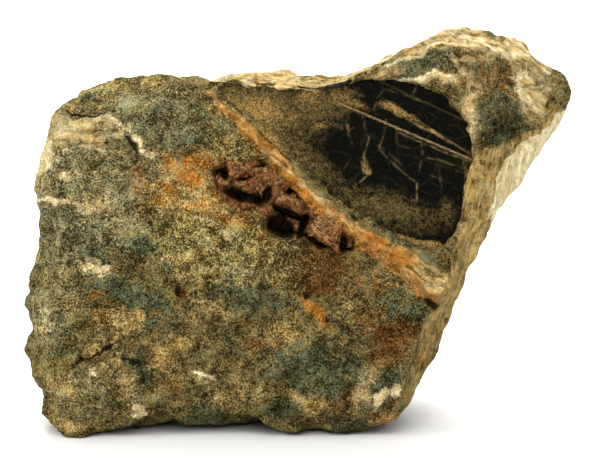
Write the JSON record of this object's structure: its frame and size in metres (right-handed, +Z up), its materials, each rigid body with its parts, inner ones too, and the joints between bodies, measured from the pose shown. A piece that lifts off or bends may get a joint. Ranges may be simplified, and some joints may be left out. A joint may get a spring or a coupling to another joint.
{
  "type": "raw yttrotantalite specimen",
  "caption": "Rough hand-sized lump of raw yttrotantalite ore: green-brown rock with a black crystal wedge, a rusty pale seam and a pocket of blocky crystals.",
  "frame": {"origin": "on the surface that the stone rests on, in the flat middle of its underside", "axes": "+X to the right along the broken front, towards the knob; +Y from the broken front to the back; +Z up"},
  "size_m": [0.0887, 0.0492, 0.0645],
  "materials": {
    "matrix_rock": "rough, granular, green-brown with rusty, ochre and cream patches",
    "black_crystal": "black, glossy on its cleavage steps, dusted with ochre",
    "pocket_crystals": "rusty brown, earthy coating on blocky crystals"
  },
  "bodies": {
    "root": {"matrix_rock": "matrix_rock", "black_crystal": "black_crystal", "pocket_crystals": "pocket_crystals"}
  },
  "joints": []
}
